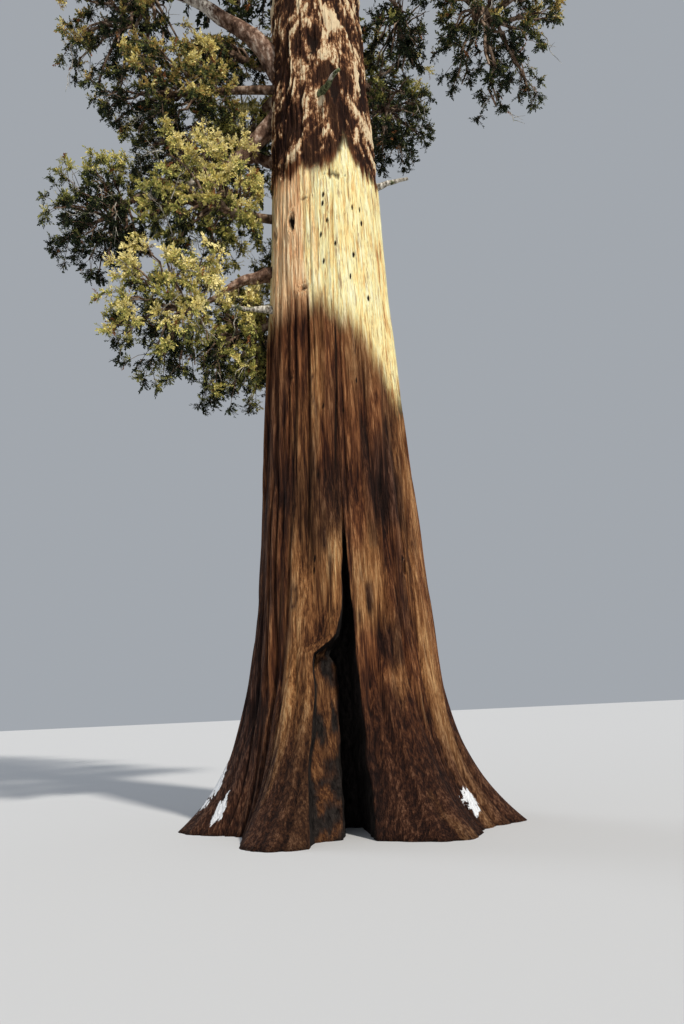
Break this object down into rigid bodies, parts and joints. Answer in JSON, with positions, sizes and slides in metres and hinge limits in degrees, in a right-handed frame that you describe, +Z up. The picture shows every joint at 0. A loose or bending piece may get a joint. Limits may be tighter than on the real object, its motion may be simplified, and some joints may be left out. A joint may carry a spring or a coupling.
{
  "type": "giant sequoia tree",
  "caption": "Whole old giant sequoia: flared fluted trunk with a fire scar at the foot, bare below, with drooping boughs and clumps of golden-green foliage up to a rounded top.",
  "frame": {"origin": "middle of the flat cut under the trunk, at ground level", "axes": "+Z up the trunk; -Y towards the side with the fire scar, which is the side the picture shows; +X to the right seen from there"},
  "size_m": [10.2519, 9.7205, 40],
  "materials": {
    "bark": "rough fibrous cinnamon bark, charred in the fire scar",
    "bough_bark": "rough grey-brown bark",
    "dead_wood": "weathered bare wood with lichen",
    "foliage": "matte green scale leaves with golden tips"
  },
  "bodies": {
    "root": {"trunk": "bark", "bough_back_left": "bough_bark", "bough_back_low": "bough_bark", "bough_back_right": "bough_bark", "bough_left_far": "bough_bark", "bough_left_high": "bough_bark", "bough_left_low": "bough_bark", "bough_left_mid": "bough_bark", "bough_right_back": "bough_bark", "bough_right_hanging": "bough_bark", "bough_right_weeping": "bough_bark", "bough_upper_01": "bough_bark", "bough_upper_05": "bough_bark", "bough_upper_09": "bough_bark", "bough_upper_13": "bough_bark", "bough_upper_17": "bough_bark", "front_dead_stub": "dead_wood", "left_dead_stub": "dead_wood", "right_dead_stub": "dead_wood", "foliage_back_left": "foliage", "foliage_back_low": "foliage", "foliage_back_lowest": "foliage", "foliage_back_right": "foliage", "foliage_leader": "foliage", "foliage_left_far": "foliage", "foliage_left_green": "foliage", "foliage_left_high": "foliage", "foliage_left_high_inner": "foliage", "foliage_left_inner": "foliage", "foliage_left_low": "foliage", "foliage_left_lowest": "foliage", "foliage_left_mid": "foliage", "foliage_right_back": "foliage", "foliage_right_hanging": "foliage", "foliage_right_weeping": "foliage", "foliage_upper_01": "foliage", "foliage_upper_02": "foliage", "foliage_upper_03": "foliage", "foliage_upper_04": "foliage", "foliage_upper_05": "foliage", "foliage_upper_06": "foliage", "foliage_upper_07": "foliage", "foliage_upper_08": "foliage", "foliage_upper_09": "foliage", "foliage_upper_10": "foliage", "foliage_upper_11": "foliage", "foliage_upper_12": "foliage", "foliage_upper_13": "foliage", "foliage_upper_14": "foliage", "foliage_upper_15": "foliage", "foliage_upper_16": "foliage", "foliage_upper_17": "foliage", "foliage_upper_18": "foliage", "foliage_upper_19": "foliage", "foliage_upper_20": "foliage", "foliage_upper_21": "foliage", "foliage_upper_22": "foliage"}
  },
  "joints": []
}
